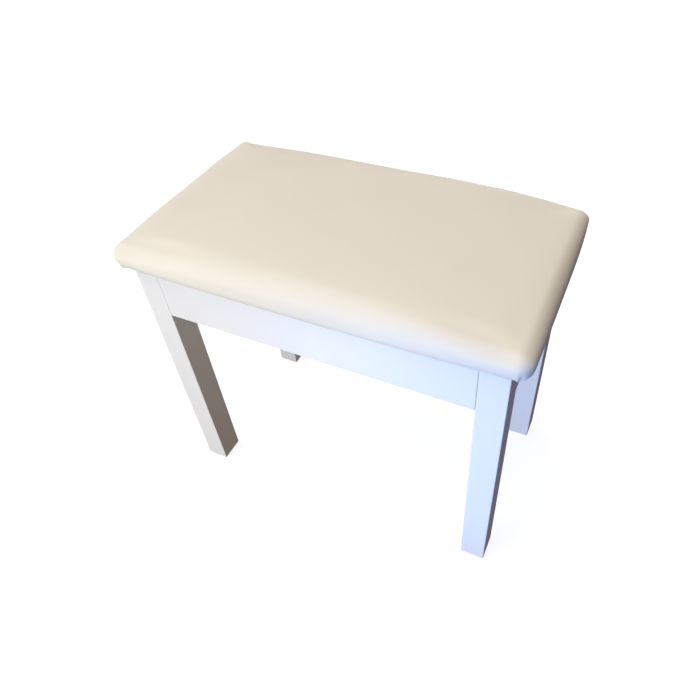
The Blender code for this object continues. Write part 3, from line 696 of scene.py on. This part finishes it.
class BENCH_OT_dust_sheet(bpy.types.Operator):
    """Makes the dust sheet under the lid: a flat grid with turned hems, sagging by a product of parabolas and
    puckered by a cosine that dies away from the staples"""

    bl_idname = "bench.dust_sheet"
    bl_label = "Dust sheet"

    def execute(self, context):
        half = (np.array(SHEET_HIGH) - np.array(SHEET_LOW)) / 2
        xs, fold_x = turned_hem(half[0], SHEET_STEP)
        ys, fold_y = turned_hem(half[1], SHEET_STEP)
        x, y = np.meshgrid(xs, ys, indexing="ij")
        fold = fold_x[:, None] + fold_y[None, :]
        u = np.clip(np.abs(x) / half[0], 0, 1)
        v = np.clip(np.abs(y) / half[1], 0, 1)
        sag = SHEET_SAG * (1 - u**2) * (1 - v**2)
        from_x = half[0] - np.abs(x)
        from_y = half[1] - np.abs(y)
        run = np.where(from_x < from_y, y, x)
        dying = np.exp(-np.minimum(from_x, from_y) / HEM)
        pucker = np.abs(PUCKER * np.cos(run * 2 * math.pi / STAPLE_PITCH) * dying)
        z = SHEET_LOW[2] + SHEET_THICK + fold * HEM_LIFT - sag - np.where(fold > 0, 0, pucker)
        points = np.stack([x, y, z], 2).reshape(-1, 3)
        faces = grid_faces(len(xs), len(ys))[:, ::-1]
        sheet = mesh_object("dust_sheet_cloth", points, faces, dust_cloth(context.scene.bench_finish.cloth))
        thick = sheet.modifiers.new("thickness", "SOLIDIFY")
        thick.thickness = SHEET_THICK
        thick.offset = 0.0
        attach(sheet, "lid")
        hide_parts("dust_sheet")
        return {"FINISHED"}


def carried(path, section, across):
    """A section's points carried along a path: each is the path's point, plus the section's first value
    along the fixed direction across, plus its second along the normal of path and across."""
    tangent = np.gradient(path, axis=0)
    tangent /= np.linalg.norm(tangent, axis=1, keepdims=True)
    normal = np.cross(tangent, across)
    return path[:, None] + section[None, :, :1] * across + section[None, :, 1:] * normal[:, None]


def staple(centre, along):
    """A staple's wire from leg tip to leg tip, its crown level and its bends square with cut corners."""
    half = STAPLE_CROWN / 2
    inner = half - STAPLE_BEND
    one_end = [[half, STAPLE_LEG], [half, STAPLE_BEND], [inner, 0.0]]
    profile = np.array([[-x, z] for x, z in one_end] + one_end[::-1])
    along = np.array(along, float)
    path = np.array(centre) + profile[:, :1] * along + profile[:, 1:] * np.array([0, 0, 1.0])
    wide, thick = STAPLE_WIRE
    section = np.array([[-1, -1], [1, -1], [1, 1], [-1, 1]]) * np.array([wide, thick]) / 2
    return carried(path, section, np.cross([0, 0, 1.0], along)).reshape(-1, 3)


class BENCH_OT_staples(bpy.types.Operator):
    """Drives the staples that hold the dust sheet"""

    bl_idname = "bench.staples"
    bl_label = "Staples"

    def execute(self, context):
        half_x = SHEET_HIGH[0] - HEM / 2
        half_y = SHEET_HIGH[1] - HEM / 2
        height = SHEET_LOW[2] - STAPLE_WIRE[1] * 0.6
        places = []
        last_x = half_x - STAPLE_FROM_END
        last_y = half_y - STAPLE_FROM_END
        for x in np.linspace(-last_x, last_x, round(2 * half_x / STAPLE_PITCH)):
            places += [((x, -half_y, height), (1, 0, 0)), ((x, half_y, height), (1, 0, 0))]
        for y in np.linspace(-last_y, last_y, round(2 * half_y / STAPLE_PITCH)):
            places += [((-half_x, y, height), (0, 1, 0)), ((half_x, y, height), (0, 1, 0))]
        wires = [staple(centre, along) for centre, along in places]
        sides = 4
        one = tube_faces(len(wires[0]) // sides, sides)
        faces = np.concatenate([one + len(wires[0]) * number for number in range(len(wires))])
        staples = mesh_object("lid_staples", np.concatenate(wires), faces, plated(context), smooth=False)
        close_ends(staples)
        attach(staples, "lid")
        return {"FINISHED"}


# Screws and bolts

SCREW_SIDES = 32
HEAD_RINGS = 8
# A screw's head radius, the height of its dome, its shank radius and its length.
DOMED_SCREW = (0.0032, 0.0013, 0.0016, 0.012)
STAY_SCREW = (0.0024, 0.00002, 0.0014, 0.012)
BRACKET_SCREW = (0.0028, 0.0009, 0.0014, 0.010)
HINGE_SCREW = (0.0027, 0.00002, 0.0014, 0.012)
# A corner plate's wings: their thickness, where a head seats, and the screws' offsets on them.
WING_THICK = 0.0022
WING_SEAT = 0.0019
WING_SPACING = 0.012
END_WING_SHIFT = 0.0008
LONG_WING_SHIFT = 0.0020
# A stay's plate, the screws' offsets on it along Y and Z, and those on its bracket's flange.
STAY_PLATE_THICK = 0.0015
STAY_SPACING = (0.0062, 0.0075)
FLANGE_SPACING = 0.0100
FLANGE_THICK = 0.0014
FLANGE_INSET = 0.0062
THREAD_PITCH = 0.00125
THREAD_ROOT = 0.0006
THREAD_CUT = 0.00055
THREAD_RUNOUT = 0.001
BOLT_SIDES = 20
RINGS_PER_TURN = 6


def cross_recess(x, y, width, reach, depth):
    """Depth of a cross-head recess: two slots, each a smooth step across its width and along its reach,
    the deeper of the two."""
    soft = width * 0.35
    slots = []
    for along, across in ((x, y), (y, x)):
        sides = 1 - smooth_step(np.abs(across), width / 2, width / 2 + soft)
        ends = 1 - smooth_step(np.abs(along), reach - soft, reach)
        slots.append(sides * ends)
    return depth * np.maximum(*slots)


def screw_points(centre, axis, size):
    """A screw turned about its axis: a domed head with a cross recess, and a shank that narrows to a point.
    The rings are a radius and a height along the axis, and the recess lowers the head's inner rings. The
    last two points are the middle of the head and the tip."""
    head, dome, shank, length = size
    inner = np.linspace(0, 1, HEAD_RINGS + 1)[1:]
    radii = np.concatenate([inner * head, [head * 0.98, shank, shank, 0.00005]])
    heights = np.concatenate([dome * (1 - inner**2.5), [-0.0003, -0.0006, -length * 0.7, -length]])
    turn = np.arange(SCREW_SIDES) * 2 * math.pi / SCREW_SIDES
    x = radii[:, None] * np.cos(turn)
    y = radii[:, None] * np.sin(turn)
    z = np.repeat(heights[:, None], SCREW_SIDES, 1)
    recess = head * 0.4
    on_head = slice(0, HEAD_RINGS)
    z[on_head] -= cross_recess(x[on_head], y[on_head], head * 0.32, head * 0.62, recess)
    local = np.stack([x, y, z], 2).reshape(-1, 3)
    local = np.concatenate([local, [[0, 0, dome - recess], [0, 0, -length]]])
    turned = Vector(axis).to_track_quat("Z", "Y").to_matrix()
    return local @ np.array(turned).T + np.array(centre)


def screws(name, body, places, size, material, replaces=()):
    """One piece holding a screw at each place and axis."""
    points = [screw_points(centre, axis, size) for centre, axis in places]
    count = len(points[0])
    middle, point = count - 2, count - 1
    rings = middle // SCREW_SIDES
    here = np.arange(SCREW_SIDES)
    there = (here + 1) % SCREW_SIDES
    last = middle - SCREW_SIDES
    top = np.stack([np.full(SCREW_SIDES, middle), here, there], 1)
    tip = np.stack([np.full(SCREW_SIDES, point), last + there, last + here], 1)
    one = [*tube_faces(rings, SCREW_SIDES), *top, *tip]
    faces = [(face + count * number).tolist() for number in range(len(places)) for face in one]
    mesh = bpy.data.meshes.new(name)
    mesh.from_pydata(np.concatenate(points).tolist(), [], faces)
    mesh.polygons.foreach_set("use_smooth", np.ones(len(mesh.polygons), bool))
    mesh.materials.append(material)
    obj = bpy.data.objects.new(name, mesh)
    bpy.context.scene.collection.objects.link(obj)
    close_ends(obj)
    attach(obj, body)
    if replaces:
        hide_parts(*replaces)
    return obj


class BENCH_OT_screws(bpy.types.Operator):
    """Drives the screws of the corner plates, the stays and the hinges"""

    bl_idname = "bench.screws"
    bl_label = "Screws"

    def execute(self, context):
        steel = plated(context)
        for corner in CORNERS:
            points = node_points("corner_plate_" + corner)
            sign = np.sign(points[:, :2].mean(0))
            size = np.abs(points)
            reach = size.max(0)
            middle = (points[:, 2].min() + points[:, 2].max()) / 2
            places = []
            on_end = size[:, 0] > reach[0] - WING_THICK
            on_long = size[:, 1] > reach[1] - WING_THICK
            end_y = (size[on_end, 1].min() + size[on_end, 1].max()) / 2 - END_WING_SHIFT
            long_x = (size[on_long, 0].min() + size[on_long, 0].max()) / 2 - LONG_WING_SHIFT
            end_face, long_face = sign * (reach[:2] - WING_SEAT)
            for z in (middle - WING_SPACING, middle + WING_SPACING):
                places.append(((end_face, sign[1] * end_y, z), (-sign[0], 0, 0)))
                places.append(((sign[0] * long_x, long_face, z), (0, -sign[1], 0)))
            screws("corner_screws_" + corner, "frame", places, DOMED_SCREW, steel)
        for side, sign in zip(SIDES, (-1, 1)):
            low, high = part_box("stay_plate_" + side)
            inner = sign * (max(abs(low[0]), abs(high[0])) - STAY_PLATE_THICK)
            y = (low[1] + high[1]) / 2
            z = (low[2] + high[2]) / 2
            places = []
            for step in (-1, 1):
                place = (inner, y + step * STAY_SPACING[0], z - step * STAY_SPACING[1])
                places.append((place, (-sign, 0, 0)))
            screws("stay_plate_screws_" + side, "frame", places, STAY_SCREW, steel)
            low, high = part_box("stay_bracket_" + side)
            y = (low[1] + high[1]) / 2
            flange = high[2] - FLANGE_THICK
            x = sign * (max(abs(low[0]), abs(high[0])) - FLANGE_INSET)
            places = [((x, y + step * FLANGE_SPACING, flange), (0, 0, -1)) for step in (-1, 1)]
            screws("bracket_screws_" + side, "lid", places, BRACKET_SCREW, steel)
        for kind, body, axis in (("fixed", "frame", 1), ("moving", "lid", -1)):
            for side in SIDES:
                names = [f"hinge_screw_{kind}_{side}_{number}" for number in (1, 2)]
                places = []
                for name in names:
                    low, high = (np.array(corner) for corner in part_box(name))
                    centre = (low + high) / 2
                    centre[2] = high[2] if axis > 0 else low[2]
                    places.append((tuple(centre), (0, 0, axis)))
                screws(f"hinge_screws_{kind}_{side}", body, places, HINGE_SCREW, steel, names)
        return {"FINISHED"}


class BENCH_OT_bolts(bpy.types.Operator):
    """Threads the hanger bolts: a rod whose radius falls by a triangle wave of its height less its turn"""

    bl_idname = "bench.bolts"
    bl_label = "Hanger bolts"

    def execute(self, context):
        steel = plated(context)
        for corner in CORNERS:
            name = "hanger_bolt_" + corner
            points = node_points(name)
            middle = points.mean(0)
            _, _, axes = np.linalg.svd(points - middle, full_matrices=False)
            axis = axes[0] * -np.sign(axes[0, 0] * middle[0])
            span = (points - middle) @ axis
            radius = np.linalg.norm((points - middle) - span[:, None] * axis, axis=1).max()
            length = span.max() - span.min()
            along = np.linspace(0, length, round(length / THREAD_PITCH * RINGS_PER_TURN))[:, None]
            turn = np.arange(BOLT_SIDES) * 2 * math.pi / BOLT_SIDES
            phase = (along / THREAD_PITCH - turn / (2 * math.pi)) % 1
            cut = THREAD_CUT * np.abs(2 * phase - 1)
            from_end = np.minimum(along, length - along)
            ease = smooth_step(from_end, 0, THREAD_RUNOUT)
            rod = (radius - THREAD_ROOT) + (THREAD_ROOT - cut) * ease
            local = np.stack([rod * np.cos(turn), rod * np.sin(turn), np.repeat(along, BOLT_SIDES, 1)], 2)
            turned = np.array(Vector(axis).to_track_quat("Z", "Y").to_matrix())
            placed = local.reshape(-1, 3) @ turned.T + middle + axis * span.min()
            faces = tube_faces(len(along), BOLT_SIDES)
            bolt = mesh_object("threaded_bolt_" + corner, placed, faces, steel)
            close_ends(bolt)
            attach(bolt, "frame")
            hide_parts(name)
        return {"FINISHED"}


# Finishes of the frame's own pieces


class BENCH_OT_finishes(bpy.types.Operator):
    """Paints and plates the pieces that keep their own shape"""

    bl_idname = "bench.finishes"
    bl_label = "Frame finishes"

    def execute(self, context):
        colours = context.scene.bench_finish
        paint = {along: satin_paint(colours.paint, along) for along in "xyz"}
        zinc = plated(context)
        by_slot = {
            "nylon": moulded("white_nylon", "E4E4DF", 0.45),
            "softwood": raw_timber("planed_poplar", "A98A5E", "D2B88C", 0.006),
            "hardboard": hardboard(),
            "zinc_steel": zinc,
            "hinge_steel": zinc,
            "rubber": moulded("soft_rubber", "8E8E8C", 0.7),
            "plywood": raw_timber("plywood", "A17E50", "D0AE7C", 0.004),
            "foam": open_foam(),
            "dust_cloth": dust_cloth(colours.cloth),
            "cream_vinyl": faux_leather(colours.leather),
        }
        for part in frame["record"]["subparts"]:
            name = part["node"]
            mesh = frame["nodes"][name].data
            if part["material_slot"] == "white_paint":
                long_rail = name in ("rail_front", "rail_rear")
                material = paint["z" if name.startswith("leg") else "x" if long_rail else "y"]
            else:
                material = by_slot[part["material_slot"]]
            mesh.materials.clear()
            mesh.materials.append(material)
        return {"FINISHED"}


# Stage

FLOOR_HALF = 40.0
WALL_RADIUS = 38.0
WALL_HEIGHT = 50.0
WALL_SIDES = 64


def stage_floor():
    """A plain pale floor, far larger than the bench, lit a little from within as a light table is."""
    points = np.array([[-1, -1, 0], [1, -1, 0], [1, 1, 0], [-1, 1, 0]]) * FLOOR_HALF
    points[:, 2] = FLOOR_HEIGHT
    material, _, shader, _ = new_material("pale_floor", 0.9)
    shader.inputs["Base Color"].default_value = linear("909090")
    shader.inputs["Specular IOR Level"].default_value = 0.0
    shader.inputs["Emission Color"].default_value = linear("FFFFFF")
    shader.inputs["Emission Strength"].default_value = 0.84
    floor = mesh_object("floor", points, np.array([[0, 1, 2, 3]]), material, smooth=False)
    floor.visible_diffuse = False
    floor.visible_glossy = False


def stage_wall():
    """A plain pale wall in a ring round the floor, which only the camera sees: a circle carried upwards."""
    turn = np.arange(WALL_SIDES) * 2 * math.pi / WALL_SIDES
    ring = WALL_RADIUS * np.stack([np.cos(turn), np.sin(turn)], 1)
    heights = np.repeat([FLOOR_HEIGHT, WALL_HEIGHT], WALL_SIDES)
    points = np.column_stack([np.tile(ring, (2, 1)), heights])
    material, _, shader, _ = new_material("pale_wall", 0.9)
    material.cycles.emission_sampling = "NONE"
    shader.inputs["Base Color"].default_value = linear("000000")
    shader.inputs["Specular IOR Level"].default_value = 0.0
    shader.inputs["Emission Color"].default_value = linear("EDEDEB")
    shader.inputs["Emission Strength"].default_value = 1.0
    wall = mesh_object("wall", points, tube_faces(2, WALL_SIDES), material)
    wall.visible_diffuse = False
    wall.visible_glossy = False
    wall.visible_transmission = False
    wall.visible_shadow = False


def aimed(obj, place, target):
    """Puts a light in its place, pointing at its target and not seen itself."""
    bpy.context.scene.collection.objects.link(obj)
    obj.visible_camera = False
    obj.location = place
    obj.rotation_euler = (Vector(target) - Vector(place)).to_track_quat("-Z", "Y").to_euler()


def soft_box(name, watts, colour, width, height, place, target):
    """A flat soft box, aimed at its target."""
    box = bpy.data.lights.new(name, "AREA")
    box.shape = "RECTANGLE"
    box.size = width
    box.size_y = height
    box.energy = watts
    box.color = linear(colour)[:3]
    aimed(bpy.data.objects.new(name, box), place, target)


def stage_lights():
    """A broad soft key from above, a long soft box over the seat's front edge, one low at the front and one
    behind for the legs and rails, and a cool spot low at the front right."""
    key = bpy.data.lights.new("key", "SUN")
    key.energy = 1.52
    key.angle = math.radians(50)
    key.color = linear("FFFBF5")[:3]
    aimed(bpy.data.objects.new("key", key), (-0.7, -0.35, 2.6), (0, 0, 0.3))
    soft_box("front", 0.66, "E2EEFF", 0.6, 0.12, (-0.20, -0.52, 0.585), (-0.16, -0.15, 0.45))
    soft_box("low", 2.8, "F8F9FF", 0.5, 0.5, (-0.30, -0.85, 0.05), (-0.05, -0.15, 0.33))
    soft_box("back", 3.0, "F8F9FF", 0.6, 0.6, (0.15, 1.0, 0.22), (0.0, 0.17, 0.30))
    cool = bpy.data.lights.new("cool", "SPOT")
    cool.spot_size = math.radians(52)
    cool.spot_blend = 0.8
    cool.shadow_soft_size = 0.12
    cool.energy = 27.0
    cool.color = linear("599EFF")[:3]
    aimed(bpy.data.objects.new("cool", cool), (0.48, -1.05, 0.25), (0.31, -0.10, 0.28))


def stage_world():
    """Soft daylight all round, falling to a dim warm room on the right."""
    world = bpy.data.worlds.new("studio")
    bpy.context.scene.world = world
    world.use_nodes = True
    tree = world.node_tree
    sky = tree.nodes["Background"]
    place = add_node(tree, "ShaderNodeTexCoord").outputs["Generated"]
    room = Vector((0.95, 0.18, -0.20)).normalized()
    facing = add_node(tree, "ShaderNodeVectorMath", {"operation": "DOT_PRODUCT"}, i0=place, i1=room)
    turned = facing.outputs["Value"]
    smooth = {"interpolation_type": "SMOOTHSTEP"}
    factor = add_node(tree, "ShaderNodeMapRange", smooth, Value=turned, From_Min=-0.20, From_Max=0.55)
    tones = {"i6": linear("F4F6FF"), "i7": shade(linear("8A6A48"), 0.52)}
    tint = add_node(tree, "ShaderNodeMix", COLOUR_MIX, Factor=factor.outputs["Result"], **tones)
    tree.links.new(tint.outputs[2], sky.inputs["Color"])
    sky.inputs["Strength"].default_value = 0.63


def stage_camera():
    """A camera held above the player's right, tipped down at the seat and a little askew."""
    lens = bpy.data.cameras.new("camera")
    lens.sensor_width = 36.0
    lens.lens = 31.57
    lens.shift_x = -0.031
    lens.shift_y = -0.001
    lens.clip_start = 0.05
    camera = bpy.data.objects.new("camera", lens)
    bpy.context.scene.collection.objects.link(camera)
    camera.location = (0.3463, -0.6185, 0.9599)
    camera.rotation_euler = [math.radians(angle) for angle in (44.42, 3.12, 25.08)]
    bpy.context.scene.camera = camera


class BENCH_OT_stage(bpy.types.Operator):
    """Sets the floor, the lights and the camera"""

    bl_idname = "bench.stage"
    bl_label = "Stage"

    def execute(self, context):
        stage_floor()
        stage_wall()
        stage_lights()
        stage_world()
        stage_camera()
        context.scene.view_settings.view_transform = "Standard"
        return {"FINISHED"}


class BENCH_PT_panel(bpy.types.Panel):
    """Lists the bench's steps in the sidebar"""

    bl_idname = "BENCH_PT_panel"
    bl_label = "Piano Bench"
    bl_space_type = "VIEW_3D"
    bl_region_type = "UI"
    bl_category = "Bench"

    def draw(self, context):
        for step in STEPS:
            self.layout.operator(step.bl_idname)


STEPS = (
    BENCH_OT_cushion,
    BENCH_OT_foam,
    BENCH_OT_dust_sheet,
    BENCH_OT_staples,
    BENCH_OT_screws,
    BENCH_OT_bolts,
    BENCH_OT_finishes,
    BENCH_OT_stage,
)
CLASSES = (BenchCushionSettings, BenchFinishSettings, *STEPS, BENCH_PT_panel)


def register():
    """Registers the classes and hangs the settings on the scene."""
    for cls in CLASSES:
        bpy.utils.register_class(cls)
    bpy.types.Scene.bench_cushion = bpy.props.PointerProperty(type=BenchCushionSettings)
    bpy.types.Scene.bench_finish = bpy.props.PointerProperty(type=BenchFinishSettings)


def unregister():
    """Takes away the settings and the classes."""
    del bpy.types.Scene.bench_finish
    del bpy.types.Scene.bench_cushion
    for cls in reversed(CLASSES):
        bpy.utils.unregister_class(cls)


def main():
    """Makes every piece in order."""
    register()
    for step in STEPS:
        getattr(bpy.ops.bench, step.bl_idname.split(".")[1])()


if __name__ == "__main__":
    main()
